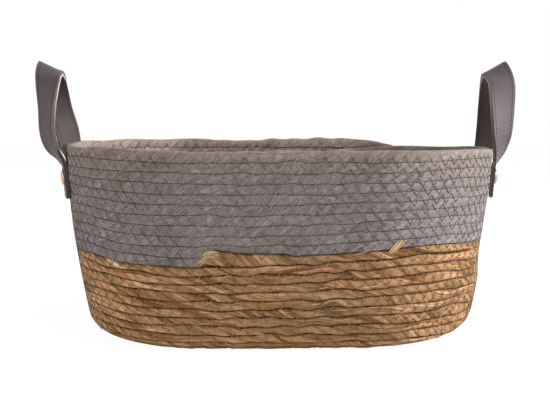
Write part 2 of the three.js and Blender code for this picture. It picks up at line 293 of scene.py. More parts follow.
def wall_at_height(height):
    """The wall's own numbers where its middle line is this high."""
    corner_height = NATURAL_THICKNESS / 2 + CORNER_RADIUS * (1 - math.cos(CORNER_END))
    steep = math.acos(math.cos(CORNER_END) - (height - corner_height) / WALL_RADIUS)
    out = FLAT_HALF_WIDTH + CORNER_RADIUS * math.sin(CORNER_END)
    return out + WALL_RADIUS * (math.sin(steep) - math.sin(CORNER_END)), steep


RIVET_OUT, RIVET_STEEP = wall_at_height(RIVET_HEIGHT)
RIVET_ANGLE = math.asin(STRAP_SPACING / 2 / (RIVET_OUT + GREY_THICKNESS / 2))
FACET_ANGLE = math.asin((STRAP_WIDTH / 2 + STRAP_FACET_MARGIN) / (RIVET_OUT + GREY_THICKNESS / 2))
print("wall at the rivets, out from the core", round(RIVET_OUT, 1))

# %% [markdown]
# ## Where the rope is
# A place along the winding is counted in half turns: the first half of each is a straight run, and the
# second is the bend round one end. The same number plus 2 is the same spot one turn further up. So the
# seam above a turn is a function of the place, and the seam below it is the same function 2 earlier, which
# makes neighbouring turns meet however uneven they are.
#
# Rush is uneven, so each seam wavers a little. Where the natural rope meets the grey one the seams also run
# a few millimetres higher, most at the right end and not at all at the front left. The last stretch before
# the splice is thicker still. Two short tables hold these rises, with straight lines between the entries.
# %% Winding
def spot(place):
    """The core point, the direction out, the angle round the end, and how much of a run is done."""
    half = np.floor(place)
    share = place - half
    side = np.where(half % 2 == 0, -1.0, 1.0)
    run = np.clip(share * 2, 0, 1)
    angle = np.pi * np.clip(share * 2 - 1, 0, 1)
    return side * HALF_CORE * (2 * run - 1), side * np.sin(angle), side * np.cos(angle), angle, run


def waves(along, seed, longest, shortest, count=7):
    """Smooth unevenness along a line: sine waves of several lengths, mostly within -1 and 1."""
    chance = np.random.default_rng(seed)
    total = np.zeros_like(np.asarray(along, float))
    for _ in range(count):
        length = longest * (shortest / longest) ** chance.random()
        total += np.sin(2 * np.pi * (along / length + chance.random()))
    return total * 1.2 / math.sqrt(count)


# %% Rise of the seams
LAP_RISES = [  # place in a lap, and millimetres that the seams rise there
    (0, 6.1), (0.08, 4.2), (0.12, 3.2), (0.16, 2.2), (0.25, 1.4), (0.36, 0), (0.6, 0), (0.65, 4.0),
    (0.75, 4.0), (1.0, 3.5), (1.5, 4.0), (1.75, 5.0), (1.85, 6.2), (1.9, 7.6), (1.95, 7.2), (2.0, 6.1),
]
END_RISES = [  # place after the splice, and millimetres that the rope's thick end adds there
    (-0.28, 0), (-0.25, 2.2), (-0.2, 2.8), (-0.14, 3.5), (-0.1, 3.9), (-0.06, 4.8), (-0.04, 5.3),
    (-0.012, 5.3), (0.006, 0),
]
RISE_BAND = [(105, 0), (179, 1), (262, 0)]  # distance along the section, and share of the lap's rise
NEXT_LAP_SHARE = 0.3


def looked_up(value, table):
    """A value's number in a table of pairs, with straight lines between them."""
    return np.interp(value, *zip(*table))


def seam_rise(place, level):
    """How much higher the seams run than an even winding's, at a distance along the section."""
    lap = looked_up(np.mod(place, 2), LAP_RISES) * looked_up(level, RISE_BAND)
    last = looked_up(place - SPLICE_PLACE, END_RISES)
    return lap + last + NEXT_LAP_SHARE * looked_up(place - SPLICE_PLACE - 2, END_RISES)


print("the seams rise by up to", max(rise for _, rise in LAP_RISES), "mm")

# %% Seams
NATURAL_WAVER, GREY_WAVER, STEADY_PLACES = 0.85, 0.5, 6
SEAM_WAVES = (5, 0.5, 0.07, 16)  # seed, longest and shortest in half turns, and how many


def seam(place):
    """How far along the wall's section the seam above this place of the winding is."""
    half = np.floor(place)
    laps, odd = np.floor(half / 2), half % 2
    _, _, _, angle, run = spot(place)
    climb = odd / 2 + (1 - np.cos(angle)) / 4
    natural = FIRST_OFFSET + NATURAL_PITCH * (laps + climb + 0.5)
    grey = FIRST_OFFSET + NATURAL_PITCH * (NATURAL_TURNS + climb - 0.5)
    grey = grey + GREY_PITCH * (laps - NATURAL_TURNS + 1)
    grey -= (GREY_PITCH - NATURAL_PITCH) * (1 - run) * (odd == 0)
    level = np.where(place < 2 * NATURAL_TURNS, natural, grey)
    waver = np.where(place < 2 * NATURAL_TURNS - 2, NATURAL_WAVER, GREY_WAVER)
    waver = waver * np.clip(place / STEADY_PLACES, 0, 1)
    return level + waver * waves(place, *SEAM_WAVES) + seam_rise(place, level)


heights = [round(float(wall(seam(np.array([place])))[1][0]), 1) for place in (30.2, 46.2, 56.2, 66.2)]
print("seam heights", heights)

# %% [markdown]
# ## The soft wall
# A sewn basket is never as regular as its winding. Its long sides bulge low down and draw in above, the
# right end has a belly and a waist, and the rim rises at both ends and leans in at the right. Each of
# these is a soft step or a soft hump that moves the points, so every piece on the wall follows it.
# %% Soft steps
def eased(value, low, high):
    """0 below low and 1 above high, with a soft step between."""
    share = np.clip((value - low) / (high - low), 0, 1)
    return share * share * (3 - 2 * share)


def hump(value, middle, reach):
    """1 in the middle, falling to 0 at this reach on both sides."""
    return np.clip(1 - ((value - middle) / reach) ** 2, 0, 1)


def unit(vectors):
    """Vectors with their length made 1."""
    return vectors / np.linalg.norm(vectors, axis=-1, keepdims=True)


def lengths_along(line):
    """The length of a line of points, up to each of them."""
    return np.concatenate([[0], np.cumsum(np.linalg.norm(np.diff(line, axis=0), axis=1))])


print("a soft step, by quarters", [round(float(eased(share, 0, 1)), 2) for share in (0.25, 0.5, 0.75)])

# %% Points on the wall
SIDE_BULGE, RIGHT_BELLY, RIM_LEAN, LEFT_RISE, RIGHT_RISE, FRONT_RISE = 9.0, 2.0, 2.0, 2.0, 2.5, 2.0
SIDE_REACH, SIDE_DEPTH, RIM_LEVEL = 150, 90, 170
BELLY, WAIST = (30, 40), (88, 38)  # height of the middle, and reach
END_ZONE, FRONT_ZONE, LEAN_DEPTHS = (60, 180), (-60, 20), (40, 70)  # where a soft step starts and ends
BULGE_LEVELS, LEAN_LEVELS, FRONT_LEVELS = (40, RIM_LEVEL), (100, RIM_LEVEL), (150, 172)
FACET_FROM, FACET_FADE = 95, 20


def flattened(angle, height):
    """The wall is pulled flat behind each strap."""
    gain = np.ones_like(angle)
    for middle in (math.pi / 2 - RIVET_ANGLE, math.pi / 2 + RIVET_ANGLE):
        near = np.abs(angle - middle) < FACET_ANGLE
        gain = np.where(near, math.cos(FACET_ANGLE) / np.cos(angle - middle), gain)
    return 1 + (gain - 1) * np.clip((height - FACET_FROM) / FACET_FADE, 0, 1)


def settled(x, y, z):
    """What sewing by hand did to the regular shape."""
    long_side = hump(x, 0, SIDE_REACH) * np.clip(np.abs(y) / SIDE_DEPTH, 0, 1)
    right, left = eased(x, *END_ZONE), eased(-x, *END_ZONE)
    lean = RIM_LEAN * right * eased(z, *LEAN_LEVELS) * eased(np.abs(y), *LEAN_DEPTHS)
    moved_x = x + RIGHT_BELLY * right * (hump(z, *BELLY) - hump(z, *WAIST)) - lean
    moved_y = y + np.sign(y) * SIDE_BULGE * long_side * (1 - eased(z, *BULGE_LEVELS))
    front = long_side * (y < 0) * eased(z, *FRONT_LEVELS) * eased(x, *FRONT_ZONE)
    moved_z = z + (LEFT_RISE * left + RIGHT_RISE * right) * z / RIM_LEVEL + FRONT_RISE * front
    return moved_x, moved_y, moved_z


def on_wall(place, distance, outward):
    """Points, in millimetres, at a place of the winding, a distance along the section, and this far out."""
    core, out_x, out_y, angle, _ = spot(place)
    out, height, steep = wall(distance)
    reach = (out + outward * np.sin(steep)) * flattened(angle, height)
    return np.stack(settled(core + out_x * reach, out_y * reach, height - outward * np.cos(steep)), -1)


# %% Even steps
FINE_STEP, BASE_MARGIN = 0.004, 4


def even_places(first, last, base_step, wall_step):
    """Places along the winding, a step apart in millimetres. The hidden base takes longer steps."""
    fine = np.arange(first, last, FINE_STEP)
    line = on_wall(fine, seam(fine), np.zeros_like(fine))
    lengths = np.linalg.norm(np.diff(line, axis=0), axis=1)
    steps = np.where(seam(fine[1:]) < FLAT_HALF_WIDTH - BASE_MARGIN, base_step, wall_step)
    count = np.concatenate([[0], np.cumsum(lengths / steps)])
    return np.interp(np.linspace(0, count[-1], int(count[-1]) + 1), count, fine)


rim_place = np.array([67.5])
print("a point on the rim", on_wall(rim_place, seam(rim_place), np.array([0.0]))[0].round(1))

# %% [markdown]
# ## A long surface from a grid
# Both ropes, and the thread, are tubes thousands of sections long. A bevelled curve or an array on a curve
# would keep every section round, but rope that is sewn to its neighbours is pressed against them. So the
# surface is Blender's own grid: its X becomes the length, its Y goes round, and each point is moved to
# where the winding is. The grid's edges are merged, the ends are filled, and the numbers that the
# materials need, such as the place on a strand, are kept as UV maps.
# %% Grid of points
def new_grid(name, sections, columns):
    """A grid piece, the section and the column of each of its points, and the point of each face corner."""
    bpy.ops.object.select_all(action="DESELECT")
    bpy.ops.mesh.primitive_grid_add(x_subdivisions=sections - 1, y_subdivisions=columns - 1, size=2)
    piece = bpy.context.object
    piece.name = piece.data.name = name
    flat = np.empty(len(piece.data.vertices) * 3)
    piece.data.vertices.foreach_get("co", flat)
    i = np.rint((flat[0::3] + 1) / 2 * (sections - 1)).astype(int)
    j = np.rint((flat[1::3] + 1) / 2 * (columns - 1)).astype(int)
    corners = np.empty(len(piece.data.loops), int)
    piece.data.loops.foreach_get("vertex_index", corners)
    return piece, i, j, corners


def face_outwards():
    """Turn the faces of the active piece outwards, and end in object mode with nothing selected."""
    bpy.ops.object.mode_set(mode="EDIT")
    bpy.ops.mesh.select_all(action="SELECT")
    bpy.ops.mesh.normals_make_consistent(inside=False)
    bpy.ops.mesh.select_all(action="DESELECT")
    bpy.ops.object.mode_set(mode="OBJECT")


# %% Many copies of a small shape
def taken_apart(piece):
    """A piece's points and faces, sorted by place, because a sphere's own order changes from run to run."""
    points = np.round([vertex.co for vertex in piece.data.vertices], 6)
    order = np.lexsort(points.T)
    rank = np.argsort(order).tolist()
    faces = []
    for polygon in piece.data.polygons:
        face = [rank[vertex] for vertex in polygon.vertices]
        start = face.index(min(face))
        faces.append(tuple(face[start:] + face[:start]))
    bpy.data.objects.remove(piece)
    return points[order], sorted(faces)


def joined_copies(name, copies, faces):
    """One piece from (copies, points, 3) in millimetres of a shape that has these faces."""
    count = copies.shape[1]
    mesh = bpy.data.meshes.new(name)
    all_faces = [tuple(k * count + point for point in face) for k in range(len(copies)) for face in faces]
    mesh.from_pydata((copies.reshape(-1, 3) * MM).tolist(), [], all_faces)
    piece = bpy.data.objects.new(name, mesh)
    bpy.context.scene.collection.objects.link(piece)
    bpy.ops.object.select_all(action="DESELECT")
    piece.select_set(True)
    bpy.context.view_layer.objects.active = piece
    face_outwards()
    bpy.ops.object.shade_smooth()
    print(name, "copies", len(copies))
    return piece


# %% Tube from a grid
STRIP_MARGIN = 0.04


def grid_tube(name, points, maps, bake_rows):
    """points is (sections, round + 1, 3) in millimetres, its last column the same as its first."""
    sections, columns = points.shape[:2]
    tube, i, j, corners = new_grid(name, sections, columns)
    mesh = tube.data
    mesh.vertices.foreach_set("co", (points[i, j] * MM).ravel())
    i, j = i[corners], j[corners]
    per_row = math.ceil((sections - 1) / bake_rows)
    row = np.repeat(i.reshape(-1, 4).min(1) // per_row, 4)
    across = STRIP_MARGIN + (1 - 2 * STRIP_MARGIN) * j / (columns - 1)
    strips = np.stack([(i - row * per_row) / per_row, (row + across) / bake_rows], -1)
    mesh.uv_layers[0].name = "OFBake"
    mesh.uv_layers[0].data.foreach_set("uv", strips.ravel())
    for map_name, values in maps.items():
        mesh.uv_layers.new(name=map_name).data.foreach_set("uv", values[i, j].ravel())
    bpy.ops.object.mode_set(mode="EDIT")
    bpy.ops.mesh.select_all(action="SELECT")
    bpy.ops.mesh.remove_doubles(threshold=1e-7)
    bpy.ops.mesh.select_all(action="DESELECT")
    bpy.ops.mesh.select_mode(type="EDGE")
    bpy.ops.mesh.select_non_manifold(
        extend=False, use_wire=False, use_multi_face=False, use_non_contiguous=False)
    bpy.ops.mesh.fill_holes(sides=0)
    face_outwards()
    bpy.ops.object.shade_smooth()
    print(name, "faces", len(mesh.polygons))
    return tube


# %% [markdown]
# ## The ropes
# Each rope is made of strands that are laid round each other. The natural one is rush, soft and lumpy; its
# strands lean one way. The grey one is tight dyed cord, and leans the other. The section is a rounded
# square that fills the space between its two seams, cut by a groove wherever two strands meet. The
# groove's place moves round as the rope goes along, and that is what makes the lay.
# %% Sewn length
SEAM_START, LAST_SEAM = -1.0, 2 * (NATURAL_TURNS + GREY_TURNS) + 4
seam_places = np.arange(SEAM_START, LAST_SEAM, FINE_STEP)
seam_lengths = lengths_along(on_wall(seam_places, seam(seam_places), np.zeros_like(seam_places)))
STITCH_PITCH = 11.0


def thread_length(places):
    """How much seam has been sewn when the machine is at these places."""
    return np.interp(places, seam_places, seam_lengths)


print("sewn seam", round(seam_lengths[-1] * MM, 1), "m")

# %% Rope surface
TWIST_WAVES, GROOVE_WAVES, SWELL_WAVES = (320, 120), (120, 25), (90, 22)  # longest and shortest
FIRST_LAP_DROP = 0.6


def repeated(values, times):
    """A column of values, as many times side by side."""
    return np.repeat(values[:, None], times, 1)


def rope(name, places, thickness, strands, lay, lean, wander, groove, lumps, squareness, around, size, spare,
         bake_rows, seed):
    """lean is 1 where the strands climb in the winding's direction, and size shrinks a tapered end."""
    low, high = seam(places - 2) - FIRST_LAP_DROP * (places < 2), seam(places)
    high = low + (high - low) * size
    middle, half = (low + high) / 2, (high - low) / 2 + spare
    length = lengths_along(on_wall(places, middle, np.zeros_like(middle)))
    angle = 2 * np.pi * np.linspace(0, 1, around + 1)
    angle[-1] = 0
    cosine, sine = np.cos(angle), np.sin(angle)
    up = -np.sign(cosine) * np.abs(cosine) ** (2 / squareness)
    out = np.sign(sine) * np.abs(sine) ** (2 / squareness)
    lays = length / lay + wander * waves(length, seed, *TWIST_WAVES)
    edges = np.hypot(np.diff(up), np.diff(out))
    round_share = np.concatenate([[0], np.cumsum(edges)]) / edges.sum()
    phase = strands * (round_share[None, :] - lean * lays[:, None] + 50)
    depth = groove * (1 + 0.35 * waves(length, seed + 1, *GROOVE_WAVES))[:, None]
    relief = 1 - depth * (1 - np.abs(np.sin(np.pi * phase)) ** 0.8)
    swell = 1 - lumps * (1 + waves(length, seed + 2, *SWELL_WAVES))[:, None]
    outward = out[None, :] * relief * swell * thickness / 2 * size[:, None]
    distance = middle[:, None] + up[None, :] * half[:, None] * (0.75 + 0.25 * relief)
    columns = around + 1
    points = on_wall(repeated(places, columns), distance, outward)
    points[..., 2] = np.maximum(points[..., 2], 0)
    points[:, -1] = points[:, 0]
    stitches = [repeated(thread_length(seams) / STITCH_PITCH, columns) for seams in (places, places - 2)]
    maps = {
        "strand": np.stack([phase, repeated(length * MM, columns)], -1),
        "row": np.stack(np.broadcast_arrays(up, out * np.ones((len(places), 1))), -1),
        "stitch": np.stack(stitches, -1),
    }
    print(name, "length", round(length[-1] * MM, 1), "m")
    return grid_tube(name, points, maps, bake_rows)


# %% [markdown]
# The natural rope starts at the middle of the base, where its end is pressed thin, and runs to the splice
# at the front left. The whole rope is one surface. Its steps are longer on the base, which is seen less.
# %% Natural rope
START_PLACE, SPLICE_GAP, SPLICE_TAPER = -0.45, 0.0008, 0.02
natural_places = even_places(START_PLACE, SPLICE_PLACE - SPLICE_GAP, 4.6, 2.15)
NATURAL_SIZES = [(START_PLACE, 0.8), (-0.3, 1), (SPLICE_PLACE - SPLICE_TAPER, 1), (SPLICE_PLACE, 0.82)]
natural = rope(
    "natural_rope_laid", natural_places, NATURAL_THICKNESS, strands=3, lay=76, lean=1, wander=0.36,
    groove=0.2, lumps=0.06, squareness=3.0, around=13, size=looked_up(natural_places, NATURAL_SIZES),
    spare=np.where(natural_places < SPLICE_PLACE - 2.1, 0.12, -0.04), bake_rows=30, seed=11,
)

# %% [markdown]
# The grey rope starts at the splice and ends at the back right, where it is cut and pressed down on the
# turn below. Just before the end it stands up a little, and then it tapers.
# %% Grey rope
TAIL_PLACE = 2 * (NATURAL_TURNS + GREY_TURNS) + 1.5
TAIL_SIZES = [  # place after the tail's own, and the rope's size there
    (-0.3, 1), (-0.14, 1.17), (0.0, 1.18), (0.02, 1.02), (0.04, 0.9), (0.052, 0.68), (0.063, 0.34),
    (0.073, 0.1),
]
grey_places = even_places(SPLICE_PLACE + SPLICE_GAP, TAIL_PLACE + TAIL_SIZES[-1][0], 2.0, 2.0)
grey = rope(
    "grey_rope_laid", grey_places, GREY_THICKNESS, strands=5, lay=58, lean=-1, wander=0.25,
    groove=0.09, lumps=0.035, squareness=8.5, around=16, size=looked_up(grey_places - TAIL_PLACE, TAIL_SIZES),
    spare=np.where(grey_places > SPLICE_PLACE + 2.1, 0.05, -0.04), bake_rows=26, seed=31,
)

# %% [markdown]
# ## The sewing thread
# A machine sews each new turn to the one below with a zigzag, right through the wall, so the same zigzag
# shows inside. The thread goes in at the middle of one row and comes out at the middle of the next. It is
# straight between two needle holes, and dives a little into the rope at each. On the base it is pressed
# into the rope, so that the basket still rests on its rope.
# %% Thread
FIRST_GREY_SEAM = SPLICE_PLACE - 2
THREAD_RADIUS, HOLE_DEPTH, HOLE_SHARE, STRAP_PRESS, BASE_PRESS = 0.27, 0.45, 0.06, 0.45, 0.5
STITCH_SCATTER, ROW_SCATTER, THREAD_CLEARANCE = 0.25, 0.02, 0.02
TAB_MIDDLE, TAB_REACH = RIVET_HEIGHT - 4, 20
# How pale the thread is painted, from the left to the right of the basket: painted light on the left, painted
# shade on the right.
THREAD_PAINTED_LIGHT = [(-110, 0.5), (-50, 0.66), (20, 0.5), (90, 0.22)]  # from the left to the right of the basket


def thread_route(first, last, seed, face):
    """Place, distance along the section, and distance out of the thread's points, and the hole of each."""
    chance = np.random.default_rng(seed)
    ends = thread_length(np.array([first, last]))
    holes = np.arange(math.ceil(ends[0] / STITCH_PITCH * 2), int(ends[1] / STITCH_PITCH * 2))
    lengths = holes * STITCH_PITCH / 2
    lengths = lengths + chance.normal(0, STITCH_SCATTER, len(lengths))
    places = np.interp(lengths, seam_lengths, seam_places)
    middle = seam(places)
    rows = np.where(holes % 2 == 0, seam(places - 2) - middle, seam(places + 2) - middle)
    targets = middle + rows * (0.5 + chance.normal(0, ROW_SCATTER, len(rows)))
    shares = np.array([0.0, HOLE_SHARE, 1 - HOLE_SHARE])
    place = (places[:-1, None] * (1 - shares) + places[1:, None] * shares).ravel()
    distance = (targets[:-1, None] * (1 - shares) + targets[1:, None] * shares).ravel()
    sunk = np.tile([HOLE_DEPTH, 0.0, 0.0], len(places) - 1)
    _, height, steep = wall(distance)
    thick = np.where(place < 2 * NATURAL_TURNS, NATURAL_THICKNESS, GREY_THICKNESS) / 2
    level = thick + THREAD_CLEARANCE - sunk - BASE_PRESS * np.clip((np.cos(steep) - 0.3) / 0.3, 0, 1)
    _, _, _, angle, _ = spot(place)
    strapped = np.abs(np.abs(angle - math.pi / 2) - RIVET_ANGLE) < FACET_ANGLE + 0.02
    level -= STRAP_PRESS * (strapped & (np.abs(height - TAB_MIDDLE) < TAB_REACH) & (face > 0))
    return place, distance, level, np.repeat(holes[:-1], 3)


def thread(name, first, last, seed, face):
    """The thread on one face of the wall: 1 outside, -1 inside."""
    place, distance, level, holes = thread_route(first, last, seed, face)
    line = on_wall(place, distance, face * level)
    outside = unit(on_wall(place, distance, face * (level + 1)) - line)
    aside = unit(np.cross(np.gradient(line, axis=0), outside))
    ring = [outside * 0.8, aside, -outside * 0.8, -aside, outside * 0.8]
    points = np.stack([line + part * THREAD_RADIUS for part in ring], 1)
    points[..., 2] = np.maximum(points[..., 2], 0.0)
    along = np.arange(len(line))[:, None] * np.ones((1, 5)) / 3
    # Painted light and shade: paler to the left and darker to the right, with a random tone; the two legs of
    # the zigzag are painted one lighter and one darker, and the thread along the splice seam is painted
    # darker as shade.
    light = looked_up(line[:, 0], THREAD_PAINTED_LIGHT) + 0.25 * waves(np.arange(len(line)), seed + 7, 60, 9)
    light = np.clip(light, 0.2, 0.8) + np.where(holes % 2 == 0, -0.18, 0.18)
    light *= np.where((place > FIRST_GREY_SEAM) & (place < SPLICE_PLACE), 0.25, 1.0)
    maps = {
        "twist": np.stack([along, np.linspace(0, 1, 5)[None, :] * np.ones((len(line), 1))], -1),
        "shade": np.stack(np.broadcast_arrays(light[:, None], np.ones((1, 5))), -1),
    }
    return grid_tube(name, points, maps, 40)


threads = {}
for rope_name, first, last, seed in (
    ("natural_rope", SEAM_START, FIRST_GREY_SEAM, 3),
    ("grey_rope", FIRST_GREY_SEAM, TAIL_PLACE - 2.02, 4),
):
    for face_name, face in (("outside", 1), ("inside", -1)):
        name = f"{rope_name}_thread_{face_name}"
        threads[name] = thread(name, first, last, seed, face)

# %% [markdown]
# ## Finish of the ropes
# A rope's colour belongs to its strands, so the pattern is drawn in the strands' own measures from the UV
# maps: how far across a strand a point is, and how far along the rope. Each strand takes a tone of its own
# that drifts along it, and thin fibres streak it lengthwise. Painted shade darkens the grooves between
# strands, the cracks between leaves of rush, the creases of the cord and the seams between rows. The
# thread's pull is a dent along its zigzag, also painted darker as shade. The rush is painted paler at the
# left end as painted light. The cord is painted paler on the inside and warmer on its top rows, both as
# painted light. The open top of the rim has no seam above it, so the painted seam shade and the pull are left
# out there.
# %% Shared patterns
def thread_pull(finish, across, width, sewn_above=1.0):
    """1 along the thread's zigzag, falling to 0 at this width, in half rows, from it."""
    above, below = finish.pair("stitch")
    lines = []
    for stitches, side, sewn in ((above, 1.0, sewn_above), (below, -1.0, 1.0)):
        zigzag = stitches.math("PINGPONG", 0.5) * 4 - 1 + side
        lines.append((1 - finish.smooth((across - zigzag).size(), 0.0, width)) * sewn)
    return lines[0].math("MAXIMUM", lines[1])


def hairline(finish, value, width):
    """Thin lines where a noise crosses its middle. On a drawn-out noise they run like fibres."""
    return 1 - finish.smooth((value - 0.5).size(), 0.0, width)


def strand_crest(phase):
    """1 along the top of each strand, and 0 in the grooves between them."""
    return (phase.math("FRACT") * math.pi).math("SINE")


ROPE_GLOSS = 0.15


# %% Natural finish
def natural_finish():
    finish = Finish("natural_rush")
    phase, length = finish.pair("strand")
    across, _ = finish.pair("row")
    wobble = finish.noise(finish.point(phase * 0.9, length * 11.0), detail=1.0)
    leaves = phase * 2.4 + wobble * 2.2
    leaf = leaves.math("FLOOR")
    kind = finish.noise(finish.point(leaf * 7.31, length * 5.0), detail=1.0)
    tone = finish.noise(finish.point(leaf * 3.77 + 30, length * 16.0))
    fibre = finish.noise(finish.point(phase * 10.0, length * 42.0, leaf), detail=3.0, roughness=0.6)
    fine = finish.noise(finish.point(phase * 30.0, length * 110.0, leaf), roughness=0.6)
    rush = finish.ramp(kind, [
        (0.3, colour(158, 136, 94)), (0.4, colour(190, 151, 104)), (0.5, colour(209, 164, 116)),
        (0.58, colour(213, 162, 120)), (0.7, colour(232, 200, 154)),
    ])
    tones = finish.ramp(tone, [(0.34, (0.44, 0.35, 0.22, 1)), (0.58, (1.12, 1.12, 1.14, 1))])
    streaks = finish.ramp(fibre * 0.5 + fine * 0.5, [
        (0.36, (0.42, 0.3, 0.15, 1)), (0.5, (0.98, 0.96, 0.94, 1)), (0.62, (1.1, 1.1, 1.1, 1)),
    ])
    _, (left_to_right, _, _) = finish.place()
    # Painted light: the left end of the rush is painted paler, for the light from the left.
    to_middle = finish.smooth(left_to_right, -0.19, -0.05)
    painted_left_light = finish.mixed((1.3, 1.32, 1.36, 1), (0.96, 0.96, 0.98, 1), to_middle)
    for factors in (tones, streaks, painted_left_light):
        rush = finish.mixed(rush, factors, 1.0, "MULTIPLY")
    crest = strand_crest(phase)
    # Painted shade: the grooves between strands, the cracks between leaves of rush and the seams between rows
    # are painted darker.
    groove = 1 - finish.smooth(crest, 0.0, 0.3)
    leaf_edge = 1 - finish.smooth(leaves.math("PINGPONG", 0.5), 0.0, 0.06)
    broken = finish.noise(finish.point(phase * 0.6, length * 30.0, 7.0))
    painted_seam_shade = finish.smooth(across.size(), 0.7, 0.97) * finish.smooth(broken, 0.27, 0.55)
    hairs = hairline(finish, fibre, 0.02).math("MAXIMUM", hairline(finish, fine, 0.03) * 0.5)
    # The dark colour takes this painted shade, the fibre hairlines, and painted shade along the thread's
    # pull.
    dark = painted_seam_shade * 0.9 + groove * 0.46 + leaf_edge * 0.6 * finish.smooth(broken, 0.36, 0.6)
    dark += hairs * 0.65 + thread_pull(finish, across, 0.13) * 0.36
    finish.set(
        Base_Color=finish.mixed(rush, colour(70, 34, 6), dark.math("MINIMUM", 0.92)),
        Roughness=0.72 - finish.smooth(tone, 0.4, 0.7) * 0.14,
        Specular_IOR_Level=ROPE_GLOSS,
    )
    relief = crest**0.6 * 0.3 + fibre * 0.5 + fine * 0.3 - leaf_edge * 0.12
    finish.bump(relief - hairs * 0.08 - thread_pull(finish, across, 0.26) * 0.3)
    return finish.material


natural.data.materials.append(natural_finish())
print("natural finish", natural.data.materials[0].name)


# %% Grey finish
def grey_finish():
    finish = Finish("grey_paper_cord")
    phase, length = finish.pair("strand")
    across, facing = finish.pair("row")
    strand = phase.math("FLOOR")
    tone = finish.noise(finish.point(strand * 5.7, length * 24.0))
    wrinkle = finish.noise(finish.point(phase * 2.2, length * 150.0, strand), detail=3.0, roughness=0.6)
    fine = finish.noise(finish.point(phase * 6.0, length * 300.0), roughness=0.6)
    cord = finish.ramp(tone * 0.35 + wrinkle * 0.35 + fine * 0.3, [
        (0.36, colour(112, 100, 96)), (0.5, colour(139, 127, 124)), (0.64, colour(162, 151, 148)),
    ])
    _, (_, _, level) = finish.place()
    # Painted light: the top rows are tinted warmer, for the light on the rim.
    cord = finish.mixed(cord, (1.03, 1.0, 0.94, 1), finish.smooth(level, 0.13, 0.172), "MULTIPLY")
    # Painted light: the inside face is painted paler, for the light on the inner wall.
    cord = finish.mixed(cord, (1.3, 1.28, 1.22, 1), 1 - finish.smooth(facing, -0.6, 0.2), "MULTIPLY")
    # Painted shade: the creases, the grooves between strands, the seams between rows and the thread's pull
    # are painted darker, towards the dark colour below.
    creases = hairline(finish, wrinkle, 0.022)
    crest = strand_crest(phase)
    groove = 1 - finish.smooth(crest, 0.0, 0.25)
    broken = finish.noise(finish.point(phase * 0.3, length * 60.0, 3.0))
    last_lap = (thread_length(TAIL_PLACE - 2) - thread_length(SPLICE_PLACE)) * MM
    on_rim = finish.smooth(length, last_lap - 0.02, last_lap + 0.02)
    covered = 1 - on_rim * finish.smooth(across, 0.0, 0.3)
    painted_seam_shade = finish.smooth(across.size(), 0.86, 1.0) * finish.smooth(broken, 0.36, 0.58) * covered
    dark = painted_seam_shade * 0.85 + groove * 0.3 + creases * 0.45
    dark += thread_pull(finish, across, 0.15, covered) * 0.36
    finish.set(
        Base_Color=finish.mixed(cord, colour(62, 51, 49), dark.math("MINIMUM", 0.85)),
        Roughness=0.82, Specular_IOR_Level=ROPE_GLOSS,
    )
    relief = crest**0.6 * 0.25 + wrinkle * 0.55 + fine * 0.35 - creases * 0.1
    finish.bump(relief - thread_pull(finish, across, 0.55, covered) * 0.3)
    return finish.material


grey.data.materials.append(grey_finish())
print("grey finish", grey.data.materials[0].name)


# %% Thread finish
def thread_finish(name, dark, light):
    """Plied thread: painted lighter and darker along its length as painted light and shade, with a random
    tone, and a fine twist.
    """
    finish = Finish(name)
    along, round_it = finish.pair("twist")
    lightness, _ = finish.pair("shade")
    twist = ((along * 9.0 + round_it) * math.tau).math("SINE")
    # Painted light and shade along the thread, with its random tone.
    painted_light_and_tone = finish.mixed(dark, light, lightness)
    finish.set(Base_Color=finish.mixed(painted_light_and_tone, dark, twist * 0.15 + 0.15), Roughness=0.5)
    finish.bump(twist * 0.1, 0.5)
    return finish.material


natural_thread = thread_finish("brown_thread", colour(74, 46, 24), colour(186, 150, 104))
grey_thread = thread_finish("grey_thread", colour(66, 56, 54), colour(172, 162, 158))
for name, made in threads.items():
    made.data.materials.append(natural_thread if name.startswith("natural") else grey_thread)
print("threads", len(threads))

# %% [markdown]
# ## Loose fibres
# Rush is a leaf, so some of it always works loose: a frayed tip where the natural rope ends, a scrap caught
# in the sewing, and thin splinters all over. One splinter is a sphere with four sides, drawn out along a
# path, so it narrows at both ends. All are one piece, and each keeps a tint of its own in a UV map.
# %% Paths of the splinters
RINGS = 6
SCATTERED_SEAT, FRAYED_SEAT, CAUGHT_SEAT = 3.72, 3.85, 4.1


def splinter_paths(places, height, reach, slant, lift, seat):
    """A path for each splinter, and the way out of the wall along it.

    height is a share of the row; reach, lift and seat, the start's distance out, are in millimetres.
    """
    share = (1 - np.cos(np.linspace(0, np.pi, RINGS + 1))) / 2
    start = thread_length(places)[:, None]
    along = np.interp(start + reach[:, None] * share, seam_lengths, seam_places)
    climb = slant[:, None] * np.abs(reach[:, None]) * share
    distance = seam(along) - NATURAL_PITCH * (1 - height[:, None]) + climb
    outward = seat + lift[:, None] * share**2
    line = on_wall(along, distance, outward)
    return line, unit(on_wall(along, distance, outward + 1) - line)


def scattered(count, seed):
    """Splinters anywhere on the wall's natural rows."""
    chance = np.random.default_rng(seed)
    places = chance.uniform(25, SPLICE_PLACE - 0.05, count)
    reach = chance.uniform(5, 15, count) * chance.choice([-1, 1], count)
    slant = -np.sign(reach) * chance.uniform(-0.06, 0.3, count)
    height, lift = chance.random(count), chance.uniform(0.1, 1.3, count) ** 2
    paths = splinter_paths(places, height, reach, slant, lift, SCATTERED_SEAT)
    return *paths, chance.uniform(0.1, 0.3, count), chance.random(count)


